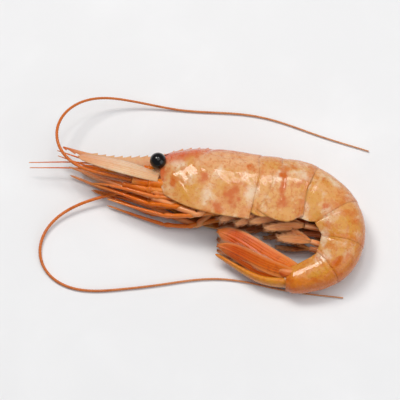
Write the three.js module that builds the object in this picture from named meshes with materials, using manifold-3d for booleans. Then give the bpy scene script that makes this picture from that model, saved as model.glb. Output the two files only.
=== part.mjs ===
// A raw botan shrimp, whole and in its shell, lying on its right side with the tail curled under the body.
// Units are millimetres and +Z is up. +X runs from the head towards the bend of the tail, and +Y from the
// belly towards the back. Body, limbs and tail fan are one closed solid, because every limb grows out of the
// body. The two long feelers are solids of their own, each held at the end of its stout stem.
//
// A place on the animal is given as (along, back, left): along the body's own midline from the eye socket
// to the tail, out towards the back (negative is the belly), and out towards the left side, which faces up.

import * as THREE from "three";
import { mergeVertices } from "three/addons/utils/BufferGeometryUtils.js";
import Module from "manifold-3d";

const wasm = await Module();
wasm.setup();

// ---- driving dimensions ----

const CARAPACE_LENGTH = 41;
const SOMITE_LENGTHS = [10, 12, 15, 13, 12, 18]; // the six rings of the abdomen, along the midline
const TELSON_LENGTH = 33;

const HEAD_TILT = 9.5; // degrees that the head's axis slopes down towards the tail
const FLEX = [-4, 2, 27, 44, 42, 42, 38]; // degrees of bend at the front of each ring and of the telson
const FLEX_SPREAD = 17; // length over which one joint's bend is spread

const REST_HEIGHT = 11.2; // the midline of the head and chest above the floor
const TAIL_DROOP = 5.2; // how far the midline sinks from there to the tail fan

// Half depth (back to belly) and half width of the body at places along the midline.
const GIRTH = [
  { along: 0, depth: 7.6, width: 6.8 },
  { along: 5, depth: 10.2, width: 8.6 },
  { along: 14, depth: 13.1, width: 10.7 },
  { along: 26, depth: 14.5, width: 11.5 },
  { along: 41, depth: 14.5, width: 11.4 },
  { along: 57, depth: 14.0, width: 11.4 },
  { along: 71, depth: 12.2, width: 10.6 },
  { along: 85, depth: 10.4, width: 9.6 },
  { along: 97, depth: 8.8, width: 8.4 },
  { along: 108, depth: 7.2, width: 7.2 },
  { along: 122, depth: 5.0, width: 5.6 },
];

// The plates of the back overlap like roof tiles: each stands proud at its hind rim by this share.
const OVERLAP = 0.05;
// How far each ring's side flaps hang below the belly, widen towards their hem, and stand proud.
const FLAPS = [
  { hang: 0.28, flare: 0, proud: -0.02 },
  { hang: 0.4, flare: 8, proud: 0.045 },
  { hang: 0.24, flare: 2, proud: 0 },
  { hang: 0.17, flare: 1, proud: 0 },
  { hang: 0.14, flare: 1, proud: 0 },
  { hang: 0.03, flare: 0, proud: 0 },
];

// The shell's outline seen from the end: this share of each side is arch, and the rest hangs down straight.
const ARCH_SHARE = 0.74;
const ARCH_FULLNESS = 0.94;
const HEM_TUCK = 0.2; // how far the hem is drawn in, as a share of the half width
const SHELL_LIP = 1.2; // height of the hem's inner lip above its edge
const RING_BELLY = 0.78; // depth of the soft belly under the rings, as a share of the half depth
const SHIELD = { stations: 12, overhang: 1.5, hem: 1.22, belly: 0.9, rim: 0.012, lean: [3.2, -2.4] };
const BROW = { line: [[9, 0, 0], [2, -0.6, 0], [-3, -1.6, 0], [-7.5, -2.6, 0]], width: 6.2, thickness: 5.4 };

// The beak starts at this height above the midline, sags on its way out, and lifts again at its tip.
const ROSTRUM = {
  length: 43,
  root: 22,
  ridge: 0.9,
  height: 4.8,
  thickness: 1.3,
  start: 5.8,
  sag: 3.2,
  tip: 5.2,
};
const ROSTRUM_TEETH = { above: 14, below: 7, rise: 0.8, upperEnd: 0.72, lowerStart: 0.96, lowerEnd: 0.3 };

const EYE = { along: -1.3, back: 2.6, left: 7.6, radius: 3.5, stalkRoot: 1.3, stalkEnd: 2.4 };

// Each small feeler: the line of its stem, and a thick and a thin whip that reach forwards from its end.
const SMALL_FEELER = {
  line: [[2, 1, 2.2], [-7, -0.4, 2.8], [-15, -1, 3.2]],
  width: [1.9, 1.2],
  thickness: [1.6, 1.1],
  whipTip: 0.25,
  whips: [
    { reach: 30, rise: 3.5, spread: -1.5, radius: 0.75 },
    { reach: 41, rise: -3.5, spread: -2.5, radius: 0.5 },
  ],
};

// The stiff blade beside each long feeler. It faces obliquely up and back.
const SCALE = {
  line: [[0, -4.3, 6], [-14, -3.2, 8], [-35, -0.8, 7]],
  width: 4.5,
  thickness: 0.55,
  across: [-0.85, 0.55],
  ends: [0.16, 0.93],
};

// Walking legs, from the third jaw leg to the fifth walking leg: the lengths of thigh, shin and foot, how
// far each part slopes away from the head's axis towards the belly, in degrees, and how much higher than
// the others the foot lies on the upper side.
const LEGS = [
  { parts: [13, 11, 13], slope: [4, -9, -12], radius: 1.5, lift: 0 },
  { parts: [15, 9, 11], slope: [2, -8, -12], radius: 1.1, lift: 0 },
  { parts: [20, 20, 8], slope: [5, -9, -9], radius: 1.0, lift: 0 },
  { parts: [9, 21.5, 38], slope: [48, -15.5, -13.5], radius: 1.35, lift: 2 },
  { parts: [23, 10, 27], slope: [11, -4, -14], radius: 1.15, lift: 0 },
  { parts: [22, 10, 26], slope: [20, 2, -11], radius: 1.1, lift: 0 },
];
const FIRST_LEG_ALONG = 9;
const LEG_SPACING = 5.3;
const LEG_ROOT = 0.8; // depth at which the legs leave the body, as a share of the half depth
// How far left of the midline each joint of a leg lies: the upper legs sink towards the middle, and the
// lower ones spread on the floor.
const LEG_JOINTS_LEFT = { upper: [4, 5.5, 2.5, -1.5], lower: [-4, -7.2, -8.6, -9.4] };

// Swimmerets, one pair under each of the first five rings: stem, blade, and forward swing in degrees.
const SWIMMERETS = [
  { stem: 6.5, blade: 13, swing: 74 },
  { stem: 7.5, blade: 16, swing: 73 },
  { stem: 8, blade: 18, swing: 56 },
  { stem: 8, blade: 17, swing: 20 },
  { stem: 6, blade: 14, swing: -12 },
];
const SWIMMERET_AT = 0.45; // share of its ring's length at which each one hangs
const SWIMMERET_ROOT = 0.72; // depth at which it hangs, as a share of the half depth
const SWIMMERET_LEFT = { root: 3.4, knee: 4.6, tips: [5.6, 4] };
const SWIMMERET_FAN = [-8, 6]; // degrees that the two blades of one pair are turned apart
const SWIMMERET_BLADE = { base: 0.5, width: 1.6, thickness: 0.45, bulge: 0.8, ends: [0.08, 0.92] };

// The middle spike of the tail fan, as places measured from the start of the tail, and its blades.
const TELSON = {
  line: [[-5, 1.8, 0], [11, 2.1, 0], [TELSON_LENGTH, -1.8, 0]],
  width: [3.6, 1.1],
  thickness: [2.4, 0.6],
};
const UROPODS = [
  { tilt: 42, length: 37, back: [-0.6, -4.8], left: [3, 4, 4, 3.2], reach: 4.6, ends: [0.12, 0.975] },
  { tilt: 70, length: 39, back: [-2.2, -10.3], left: [3, 5.4, 5.6, 4.8], reach: 5.4, ends: [0.17, 0.975] },
];
// The short stout joint that carries both blades of one side.
const FAN_ROOT = {
  line: [[-4, -2.2, 2.6], [0, -2.4, 3.4], [5, -2.8, 4.2]],
  width: [2.8, 2.2],
  thickness: [2.5, 2],
};
const UROPOD_START = -4;
const UROPOD_THICKNESS = 0.65;

// Seen from above, each long feeler starts at this compass angle in degrees (0 is +X, 90 is +Y), and turns
// by so many degrees between two distances along it. It sinks to the floor between two more.
const LONG_FEELER = {
  length: 190,
  root: 0.75,
  tip: 0.3,
  steps: 60,
  sides: 6,
  wave: 4,
  waveLength: 9,
  gap: 0.45,
  stem: [[5, -6.4, 4.6], [-4, -7.2, 5.6], [-11, -7.2, 6]],
  stemRadius: [2.4, 1.5],
  courses: {
    left: {
      start: 164,
      turns: [{ by: -168, from: 12, to: 84 }, { by: -18, from: 105, to: 185 }],
      sinks: [30, 110],
    },
    right: {
      start: 190,
      turns: [{ by: 180, from: 12, to: 98 }, { by: -20, from: 104, to: 160 }],
      sinks: [0, 60],
    },
  },
};

// ---- small helpers ----

const radians = THREE.MathUtils.degToRad;
const lerp = THREE.MathUtils.lerp;
const smooth = (t) => THREE.MathUtils.smoothstep(t, 0, 1);
const sum = (list) => list.reduce((a, b) => a + b, 0);

// Reads a smooth curve through the GIRTH rows.
function girth(along, key) {
  const rows = GIRTH;
  if (along <= rows[0].along) return rows[0][key];
  const i = rows.findIndex((row) => row.along > along);
  if (i < 0) return rows.at(-1)[key];
  const [a, b] = [rows[Math.max(i - 2, 0)], rows[i - 1]];
  const [c, d] = [rows[i], rows[Math.min(i + 1, rows.length - 1)]];
  const span = c.along - b.along;
  const t = (along - b.along) / span;
  const slopeAtB = ((c[key] - a[key]) / (c.along - a.along)) * span;
  const slopeAtC = ((d[key] - b[key]) / (d.along - b.along)) * span;
  const [t2, t3] = [t * t, t * t * t];
  return (
    (2 * t3 - 3 * t2 + 1) * b[key] +
    (t3 - 2 * t2 + t) * slopeAtB +
    (3 * t2 - 2 * t3) * c[key] +
    (t3 - t2) * slopeAtC
  );
}

// ---- the curled midline ----

const JOINTS = SOMITE_LENGTHS.map((_, i) => CARAPACE_LENGTH + sum(SOMITE_LENGTHS.slice(0, i)));
const TAIL_START = CARAPACE_LENGTH + sum(SOMITE_LENGTHS);
JOINTS.push(TAIL_START);

function heading(along) {
  const bends = JOINTS.map((joint, i) => FLEX[i] * smooth((along - joint) / FLEX_SPREAD + 0.5));
  return radians(HEAD_TILT + sum(bends));
}

const MIDLINE_STEP = 0.5;
const MIDLINE = [new THREE.Vector2(0, 0)];
for (let along = 0; along < TAIL_START + 2 * TELSON_LENGTH; along += MIDLINE_STEP) {
  const angle = heading(along + MIDLINE_STEP / 2);
  const step = new THREE.Vector2(Math.cos(angle), -Math.sin(angle)).multiplyScalar(MIDLINE_STEP);
  MIDLINE.push(MIDLINE.at(-1).clone().add(step));
}

function midHeight(along) {
  return REST_HEIGHT - TAIL_DROOP * smooth((along - 60) / (TAIL_START + 12 - 60));
}

// The point of the animal at (along, back, left).
function place(along, back, left) {
  const angle = heading(along);
  const onLine = along <= 0
    ? new THREE.Vector2(Math.cos(angle), -Math.sin(angle)).multiplyScalar(along)
    : new THREE.Vector2().lerpVectors(
        MIDLINE[Math.floor(along / MIDLINE_STEP)],
        MIDLINE[Math.floor(along / MIDLINE_STEP) + 1],
        (along / MIDLINE_STEP) % 1,
      );
  return new THREE.Vector3(
    onLine.x + back * Math.sin(angle),
    onLine.y + back * Math.cos(angle),
    midHeight(along) + left,
  );
}

// ---- closed solids from rings ----

// Joins rings of equal point count into one closed geometry, with a middle point at each end.
function loft(rings) {
  const count = rings[0].length;
  const middle = (ring) => ring.reduce((a, p) => a.add(p), new THREE.Vector3()).divideScalar(count);
  const points = [...rings.flat(), middle(rings[0]), middle(rings.at(-1))];
  const [head, tail] = [points.length - 2, points.length - 1];
  const lastRing = (rings.length - 1) * count;
  const index = [];
  for (let i = 0; i < count; i++) {
    const j = (i + 1) % count;
    index.push(head, j, i, tail, lastRing + i, lastRing + j);
    for (let r = 0; r < rings.length - 1; r++) {
      const [a, b, c, d] = [r * count + i, r * count + j, (r + 1) * count + i, (r + 1) * count + j];
      index.push(a, b, c, b, d, c);
    }
  }
  return new THREE.BufferGeometry().setFromPoints(points).setIndex(index);
}

// A tube or blade along a path: an ellipse of half width (across) and half thickness at each path point.
// side is the direction in which the width is measured.
function sweep(path, halfWidth, halfThickness, side, sides = 6) {
  const last = path.length - 1;
  const rings = path.map((point, i) => {
    const forward = path[Math.min(i + 1, last)].clone().sub(path[Math.max(i - 1, 0)]).normalize();
    const across = side.clone().addScaledVector(forward, -side.dot(forward)).normalize();
    const up = new THREE.Vector3().crossVectors(forward, across);
    const t = i / last;
    return Array.from({ length: sides }, (_, k) => {
      const angle = (2 * Math.PI * k) / sides;
      return point
        .clone()
        .addScaledVector(across, halfWidth(t) * Math.cos(angle))
        .addScaledVector(up, halfThickness(t) * Math.sin(angle));
    });
  });
  return loft(rings);
}

function curveThrough(knots, steps) {
  return new THREE.CatmullRomCurve3(knots, false, "centripetal").getSpacedPoints(steps);
}

// A width that runs evenly from the first value to the second.
const taper = ([first, second]) => (t) => lerp(first, second, t);
// A leaf's outline: a sine arch, cut off at its ends and made fuller by a power below 1.
const leaf = (reach, ends, power = 0.6) => (t) =>
  reach * Math.pow(Math.sin(Math.PI * lerp(...ends, t)), power);
const onSide = (side) => ([along, back, left]) => place(along, back, side * left);

const UP = new THREE.Vector3(0, 0, 1);

// ---- the shell ----

// One cross-section of the shell as (back, left) pairs: an arch over the back, sides that hang down to a
// hem, and the belly set in between them. swell(share) widens it, from 0 at the crest to 1 at the hem.
function shellSection(depth, width, hem, belly, points, swell) {
  const section = [];
  for (let k = 0; k <= points; k++) {
    const turn = lerp(-1, 1, k / points);
    const share = Math.abs(turn);
    const angle = (Math.min(share / ARCH_SHARE, 1) * Math.PI) / 2;
    const low = Math.max(0, share - ARCH_SHARE) / (1 - ARCH_SHARE);
    const back = low > 0 ? -hem * low : depth * Math.pow(Math.cos(angle), ARCH_FULLNESS) * swell(share);
    const left = width * Math.sin(angle) * (1 - HEM_TUCK * low * low) * swell(share);
    section.push([back, Math.sign(turn) * left, low]);
  }
  const [lip, middle] = [0.66 * width, 0.42 * width];
  const top = SHELL_LIP - hem;
  section.push([top, lip, 1], [-belly, middle, 1], [-belly, -middle, 1], [top, -lip, 1]);
  return section;
}

// The shield over head and chest. Its hind rim lies over the first ring of the abdomen.
function carapace() {
  const { stations, overhang, hem, belly, rim } = SHIELD;
  const rings = Array.from({ length: stations + 1 }, (_, i) => {
    const t = i / stations;
    const along = lerp(0, CARAPACE_LENGTH + overhang, Math.pow(t, 1.3)); // closer together at the front
    const [depth, width] = [girth(along, "depth"), girth(along, "width")];
    const swell = 1 + (i === stations ? rim : 0);
    const section = shellSection(depth, width, hem * depth, belly * depth, 16, () => swell);
    // The front edge leans back below the eye, and the hind edge leans forward towards the belly.
    const lean = (low) => low * lerp(...SHIELD.lean, t);
    return section.map(([back, left, low]) => place(along + lean(low), back, left));
  });
  return loft(rings);
}

// The grown-together roots of eyes and feelers, which fill the front opening of the shield.
function brow() {
  const half = (wide) => (t) => wide * lerp(1, 0.5, t * t);
  return sweep(BROW.line.map(onSide(1)), half(BROW.width), half(BROW.thickness), UP, 10);
}

// One ring of the abdomen, its sides drawn out into rounded flaps.
function somite(number) {
  const start = JOINTS[number];
  const length = SOMITE_LENGTHS[number];
  const { hang, flare, proud } = FLAPS[number];
  const last = number === SOMITE_LENGTHS.length - 1;
  const rings = [-0.24, 0, 0.3, 0.64, 0.9, last ? 1.02 : 1.04].map((t, i) => {
    const along = start + t * length;
    const depth = girth(along, "depth");
    const width = girth(along, "width");
    const lobe = Math.sin(Math.PI * THREE.MathUtils.clamp((t + 0.3) / 1.42, 0, 1));
    const belly = RING_BELLY * depth;
    const hem = belly + depth * (0.05 + hang * lobe);
    const rise = OVERLAP * [-1, -0.8, -0.4, -0.1, 0.1, last ? -4 : 0][i];
    const swell = (share) => 1 + lerp(rise, proud || rise, smooth((share - 0.4) / 0.3));
    const section = shellSection(depth, width, hem, belly, 14, swell);
    return section.map(([back, left, low]) => place(along + flare * (t - 0.45) * low * low, back, left));
  });
  return loft(rings);
}

// The toothed beak between the eyes. It rises from the back of the shield, sags and lifts at its tip.
function rostrum() {
  const { length, root, height, thickness, start, sag, tip, ridge } = ROSTRUM;
  const { above, below, rise, upperEnd, lowerStart, lowerEnd } = ROSTRUM_TEETH;
  const crest = (x) => girth(x, "depth") + ridge * (1 - x / root);
  const middle = (x) => {
    const out = Math.max(0, -x) / length;
    const free = lerp(start, tip, out * out) - sag * Math.sin(Math.PI * Math.min(out, 1));
    return x > 0 ? lerp(free, crest(x) - height / 2, smooth(x / 5)) : free;
  };
  const tall = (x) => (x > 0 ? height : height * Math.pow(1 + x / length, 0.7) + 0.3);
  const edge = (from, to, teeth, side) => {
    const points = [];
    for (let i = 0; i < teeth; i++) {
      const x = lerp(from, to, i / teeth);
      const next = lerp(from, to, (i + 1) / teeth);
      const foot = (at) => middle(at) + (side * tall(at)) / 2;
      points.push([x, foot(x)], [lerp(x, next, side > 0 ? 0.9 : 0.1), foot(next) + side * rise]);
    }
    return points;
  };
  const outline = [
    ...edge(root, -upperEnd * length, above, 1),
    [-length, middle(-length)],
    ...edge(-lowerStart * length, -lowerEnd * length, below, -1),
    [4, 4],
    [root, crest(root) - 4],
  ];
  const shape = new THREE.Shape(outline.map(([x, y]) => new THREE.Vector2(x, y)));
  return new THREE.ExtrudeGeometry(shape, { depth: thickness, bevelEnabled: false })
    .translate(0, 0, REST_HEIGHT - thickness / 2)
    .rotateZ(-radians(HEAD_TILT));
}

// ---- the head's limbs ----

function eye(side) {
  const centre = place(EYE.along, EYE.back, side * EYE.left);
  const ball = new THREE.SphereGeometry(EYE.radius, 14, 9).translate(centre.x, centre.y, centre.z);
  const root = place(EYE.along + 4, EYE.back - 1.5, side * 2.5);
  const thick = taper([EYE.stalkRoot, EYE.stalkEnd]);
  return [ball, sweep([root, centre], thick, thick, new THREE.Vector3(1, 0, 0))];
}

function smallFeeler(side) {
  const { line, width, thickness, whips, whipTip } = SMALL_FEELER;
  const [along, back, left] = line.at(-1);
  const whip = ({ reach, rise, spread, radius }) => {
    const knots = [
      place(along + 0.5, back, side * left),
      place(along - 0.5 * reach, back + 0.2 * rise, side * left + 0.5 * spread),
      place(along - reach, back + rise, side * left + spread),
    ];
    const thin = taper([radius, whipTip]);
    return sweep(curveThrough(knots, 7), thin, thin, UP, 5);
  };
  return [sweep(line.map(onSide(side)), taper(width), taper(thickness), UP), ...whips.map(whip)];
}

function antennalScale(side) {
  const path = curveThrough(SCALE.line.map(onSide(side)), 7);
  const [back, left] = SCALE.across;
  const across = place(0, back, side * left).sub(place(0, 0, 0));
  return sweep(path, leaf(SCALE.width, SCALE.ends), () => SCALE.thickness, across, 6);
}

// The stout stem under the scale, which carries the long feeler.
function feelerStem(side) {
  const thick = taper(LONG_FEELER.stemRadius);
  return sweep(LONG_FEELER.stem.map(onSide(side)), thick, thick, UP);
}

// The long whip leaves its stem forwards, turns round and lies back along the body on the floor: the left
// one past the back, and the right one past the belly.
function longFeeler(side) {
  const { length, root, tip, steps, sides, wave, waveLength, gap, stem, courses } = LONG_FEELER;
  const { start, turns, sinks } = courses[side > 0 ? "left" : "right"];
  const step = length / steps;
  const end = onSide(side)(stem.at(-1));
  const path = [end.clone()];
  for (let i = 1; i <= steps; i++) {
    const run = i * step;
    const turn = sum(turns.map(({ by, from, to }) => by * smooth((run - from) / (to - from))));
    const angle = radians(start + turn + wave * Math.sin(run / waveLength));
    const next = path.at(-1).clone();
    next.x += step * Math.cos(angle);
    next.y += step * Math.sin(angle);
    next.z = lerp(end.z, root + 0.1, smooth((run - sinks[0]) / (sinks[1] - sinks[0])));
    path.push(next);
  }
  path[0].lerp(path[1], gap / step);
  const thin = taper([root, tip]);
  return sweep(path, thin, thin, UP, sides);
}

// ---- legs, swimmerets and the tail fan ----

function leg(number, side) {
  const { parts, slope, radius, lift } = LEGS[number];
  const along = FIRST_LEG_ALONG + LEG_SPACING * number;
  let [x, back] = [along, -LEG_ROOT * girth(along, "depth")];
  const left = side > 0 ? LEG_JOINTS_LEFT.upper.map((at, i) => at + (lift * i) / 3) : LEG_JOINTS_LEFT.lower;
  const knots = [place(x, back, left[0])];
  parts.forEach((length, i) => {
    x -= length * Math.cos(radians(slope[i]));
    back -= length * Math.sin(radians(slope[i]));
    knots.push(place(x, back, left[i + 1]));
  });
  const bentPath = [];
  knots.slice(0, -1).forEach((knot, i) => {
    const next = knots[i + 1];
    [0, 0.5, 0.93].forEach((t) => bentPath.push(knot.clone().lerp(next, t)));
  });
  bentPath.push(knots.at(-1));
  const thick = (t) => radius * lerp(1.15, 0.35, t * t) * (1 + 0.12 * Math.cos(6 * Math.PI * t));
  return sweep(bentPath, thick, thick, UP);
}

function swimmeret(number, side) {
  const { stem, blade, swing } = SWIMMERETS[number];
  const { base, width, thickness, bulge, ends } = SWIMMERET_BLADE;
  const along = JOINTS[number] + SWIMMERET_AT * SOMITE_LENGTHS[number];
  const belly = -SWIMMERET_ROOT * girth(along, "depth");
  const down = place(along, -1, 0).sub(place(along, 0, 0));
  const forward = new THREE.Vector3(-Math.cos(heading(along)), Math.sin(heading(along)), 0);
  // The place at a distance from the root, swung forwards from straight down.
  const reach = (distance, left, degrees) =>
    place(along, belly, left)
      .addScaledVector(down, distance * Math.cos(radians(degrees)))
      .addScaledVector(forward, distance * Math.sin(radians(degrees)));
  const root = place(along, belly, side * SWIMMERET_LEFT.root);
  const knee = reach(stem, side * SWIMMERET_LEFT.knee, swing);
  const blades = SWIMMERET_FAN.map((fan, i) => {
    const tip = reach(stem + blade, side * SWIMMERET_LEFT.tips[i], swing + fan);
    const middle = knee.clone().lerp(tip, 0.5).add(new THREE.Vector3(0, 0, side * 0.8));
    const outline = leaf(width, ends, bulge);
    const across = new THREE.Vector3(0.25 * i, 0.8, side * 0.7);
    return sweep(curveThrough([knee, middle, tip], 4), (t) => base + outline(t), () => thickness, across);
  });
  const stalk = sweep([root, root.clone().lerp(knee, 0.55), knee], taper([1.9, 1.5]), taper([1.5, 1.1]), UP);
  return [stalk, ...blades];
}

function telson() {
  const knots = TELSON.line.map(([from, back, left]) => place(TAIL_START + from, back, left));
  const wide = (t) => lerp(...TELSON.width, Math.pow(t, 1.3));
  return sweep(curveThrough(knots, 5), wide, taper(TELSON.thickness), UP);
}

// Each side of the fan has an inner and an outer blade, half folded under the telson like a cupped hand.
function uropod(side, { tilt, length, back, left, reach, ends }) {
  const start = TAIL_START + UROPOD_START;
  const stations = [[0, 0], [0.4, 0.4], [0.8, 0.9], [1, 1]]; // shares of the length and of the way down
  const knots = stations.map(([t, down], i) =>
    place(start + t * length, lerp(...back, down), side * left[i]));
  const origin = place(TAIL_START + 10, 0, 0);
  const angle = radians(tilt);
  const across = place(TAIL_START + 10, -Math.sin(angle), side * Math.cos(angle)).sub(origin);
  return sweep(curveThrough(knots, 9), leaf(reach, ends), () => UROPOD_THICKNESS, across, 6);
}

function fanRoot(side) {
  const knots = FAN_ROOT.line.map(([from, back, left]) => place(TAIL_START + from, back, side * left));
  return sweep(knots, taper(FAN_ROOT.width), taper(FAN_ROOT.thickness), UP);
}

// ---- joining ----

// A geometry as a solid, its shared points merged and its faces turned outwards.
function solid(geometry) {
  const bare = geometry.clone();
  ["normal", "uv"].forEach((name) => bare.deleteAttribute(name));
  const merged = mergeVertices(bare, 1e-4);
  const triVerts = new Uint32Array(merged.index.array);
  const points = merged.attributes.position;
  let volume = 0;
  const [a, b, c] = [new THREE.Vector3(), new THREE.Vector3(), new THREE.Vector3()];
  for (let i = 0; i < triVerts.length; i += 3) {
    a.fromBufferAttribute(points, triVerts[i]);
    b.fromBufferAttribute(points, triVerts[i + 1]);
    c.fromBufferAttribute(points, triVerts[i + 2]);
    volume += a.dot(b.cross(c));
  }
  if (volume < 0) triVerts.reverse();
  return new wasm.Manifold(new wasm.Mesh({ numProp: 3, vertProperties: points.array, triVerts }));
}

const SIDES = [1, -1];
const bodyPieces = [
  carapace(),
  brow(),
  ...SOMITE_LENGTHS.map((_, i) => somite(i)),
  rostrum(),
  telson(),
  ...SIDES.flatMap((side) => [
    ...eye(side),
    ...smallFeeler(side),
    antennalScale(side),
    feelerStem(side),
    ...LEGS.map((_, i) => leg(i, side)),
    ...SWIMMERETS.flatMap((_, i) => swimmeret(i, side)),
    ...UROPODS.map((blade) => uropod(side, blade)),
    fanRoot(side),
  ]),
];

// Everything below the floor is cut away, which leaves the flat spots that the shrimp rests on.
const ROOM = 600;
const aboveFloor = solid(new THREE.BoxGeometry(ROOM, ROOM, ROOM).translate(0, 0, ROOM / 2));
const SLIVER = 0.03; // details smaller than this, left where pieces cross, are smoothed away

// Joins pieces into one skin. That is the largest of the closed surfaces: any other is a bubble between two.
function join(pieces) {
  const joined = pieces.map(solid).reduce((whole, piece) => whole.add(piece)).intersect(aboveFloor);
  const [skin] = joined.simplify(SLIVER).decompose().sort((a, b) => b.volume() - a.volume());
  return skin;
}

function node(name, skin, color) {
  const made = skin.getMesh();
  const geometry = new THREE.BufferGeometry()
    .setAttribute("position", new THREE.BufferAttribute(new Float32Array(made.vertProperties), 3))
    .setIndex(new THREE.BufferAttribute(new Uint32Array(made.triVerts), 1));
  geometry.computeVertexNormals();
  const material = new THREE.MeshStandardMaterial({ color, roughness: 0.35, metalness: 0 });
  const mesh = new THREE.Mesh(geometry, material);
  mesh.name = name;
  return mesh;
}

const part = new THREE.Group();
part.add(
  node("shrimp", join(bodyPieces), 0xd99a66),
  node("left_feeler", join([longFeeler(1)]), 0xb8683a),
  node("right_feeler", join([longFeeler(-1)]), 0xb8683a),
);

// The part's origin is the middle of its bounding box, on the floor.
const box = new THREE.Box3().setFromObject(part);
const middle = box.getCenter(new THREE.Vector3());
part.children.forEach((mesh) => mesh.position.set(-middle.x, -middle.y, -box.min.z));

export default part;
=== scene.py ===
# %% [markdown]
# # A raw botan shrimp
# A whole shrimp, still in its shell, lies on its right side with its tail curled under its belly. This lesson
# builds its looks: thin glossy shell plates over soft flesh, jointed legs, a toothed beak, black eyes, a tail
# fan and long whip-like feelers. Every surface is worked out with numpy as a function of two parameters, and
# put into a mesh as whole arrays.
#
# The shape is measured in millimetres. A place on the animal is given as (along, back, left): along its own
# midline from the eye socket to the tail, out towards the back (negative is the belly), and out towards the
# left side, which faces up.

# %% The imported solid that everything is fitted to
from collections import namedtuple
import bpy
import numpy as np
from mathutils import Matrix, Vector


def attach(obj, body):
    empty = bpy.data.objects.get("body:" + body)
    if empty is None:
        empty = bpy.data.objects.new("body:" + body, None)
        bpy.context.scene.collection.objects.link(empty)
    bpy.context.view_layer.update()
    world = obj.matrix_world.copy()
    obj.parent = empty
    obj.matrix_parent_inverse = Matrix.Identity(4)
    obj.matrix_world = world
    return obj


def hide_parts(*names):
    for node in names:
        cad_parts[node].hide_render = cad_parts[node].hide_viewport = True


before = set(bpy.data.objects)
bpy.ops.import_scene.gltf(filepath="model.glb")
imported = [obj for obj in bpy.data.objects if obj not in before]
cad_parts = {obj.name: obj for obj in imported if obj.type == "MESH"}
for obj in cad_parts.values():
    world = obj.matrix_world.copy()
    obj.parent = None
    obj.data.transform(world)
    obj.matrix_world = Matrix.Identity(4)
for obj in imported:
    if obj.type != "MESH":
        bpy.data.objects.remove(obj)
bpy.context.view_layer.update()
MM = 0.001

# %% [markdown]
# ## The camera, the light and the surface
# The shrimp is seen from high in front: the camera looks down at 69 degrees, from about 1.2 m away, through a
# long lens. A window lamp behind and to the left gives the wet highlights, a broad one overhead lights all of
# it softly, a third fills the shadows from the front, and a small one adds a glint along the back. Area lamps
# are chosen because their reflection on wet shell is a soft patch and not a point.

# %% Camera, lamps and sheet
CAMERA_ELEVATION = np.radians(69)
CAMERA_DISTANCE = 1.2
LENS = 254
VIEW_CENTRE = np.array([0.0, -0.003, 0.008])


def add_camera():
    """Puts the camera on a sphere round the view's centre, at the elevation above, looking at the centre."""
    back = np.array([0, -np.cos(CAMERA_ELEVATION), np.sin(CAMERA_ELEVATION)])
    camera = bpy.data.objects.new("camera", bpy.data.cameras.new("camera"))
    camera.location = VIEW_CENTRE + CAMERA_DISTANCE * back
    camera.rotation_euler = (np.pi / 2 - CAMERA_ELEVATION, 0, 0)
    camera.data.lens = LENS
    bpy.context.scene.collection.objects.link(camera)
    bpy.context.scene.camera = camera


def add_lamp(name, at, size, watts, colour=(1, 1, 1)):
    """A square soft lamp at a place, turned towards the view's centre."""
    data = bpy.data.lights.new(name, "AREA")
    data.size = size
    data.energy = watts
    data.color = colour
    lamp = bpy.data.objects.new(name, data)
    lamp.location = at
    lamp.rotation_euler = Vector(VIEW_CENTRE - np.array(at)).to_track_quat("-Z", "Y").to_euler()
    bpy.context.scene.collection.objects.link(lamp)


add_camera()
add_lamp("window", (-0.52, 0.6, 1.35), 0.45, 11.0, (1.0, 0.97, 0.93))
add_lamp("fill", (0.8, -0.5, 0.5), 0.8, 3.4, (0.97, 0.98, 1.0))
add_lamp("top", (0.15, 0.1, 1.4), 1.0, 6.0)
add_lamp("glint", (0.1, 0.56, 1.3), 0.3, 2.4)

world = bpy.data.worlds.new("room")
world.use_nodes = True
sky = world.node_tree.nodes["Background"].inputs
sky["Color"].default_value = (0.9, 0.93, 1.0, 1)
sky["Strength"].default_value = 0.3
bpy.context.scene.world = world
bpy.context.scene.view_settings.view_transform = "Standard"
print("camera and", len(bpy.data.lights), "lamps")

# %% [markdown]
# ## The curled midline
# The body is a bent axis with a girth. The head and chest are straight, and each joint of the abdomen adds
# its share of the curl. Adding up small steps in the direction of the heading gives the midline, which is an
# easy way to bend a whole animal: one number for each joint, and everything else follows.

# %% Midline
CARAPACE = 41.0
RINGS = np.array([10, 12, 15, 13, 12, 18.0])
TELSON = 33.0
JOINTS = CARAPACE + np.concatenate([[0], np.cumsum(RINGS)])
TAIL = JOINTS[-1]
HEAD_TILT = 9.5
FLEX = np.array([-4, 2, 27, 44, 42, 42, 38.0])
FLEX_SPREAD = 17.0
REST_HEIGHT = 11.2
TAIL_DROOP = 5.2
DROOP_START, DROOP_END = 60.0, TAIL + 12
STEP = 0.25


def smooth(t):
    """0 below 0, 1 above 1, and 3t squared minus 2t cubed between."""
    t = np.clip(t, 0, 1)
    return t * t * (3 - 2 * t)


def bump(x, middle, width):
    """A bell: 1 at the middle, falling to about a third one width away."""
    return np.exp(-(((x - middle) / width) ** 2))


def heading(along):
    """The midline's slope below +X: the head's tilt plus each joint's bend, eased in over FLEX_SPREAD."""
    eased = smooth((np.asarray(along, float)[..., None] - JOINTS) / FLEX_SPREAD + 0.5)
    return np.radians(HEAD_TILT + (FLEX * eased).sum(-1))


steps = np.arange(0, TAIL + 2 * TELSON, STEP)
turned = heading(steps[:-1] + STEP / 2)
line_x = np.concatenate([[0], np.cumsum(STEP * np.cos(turned))])
line_y = np.concatenate([[0], np.cumsum(-STEP * np.sin(turned))])


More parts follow.
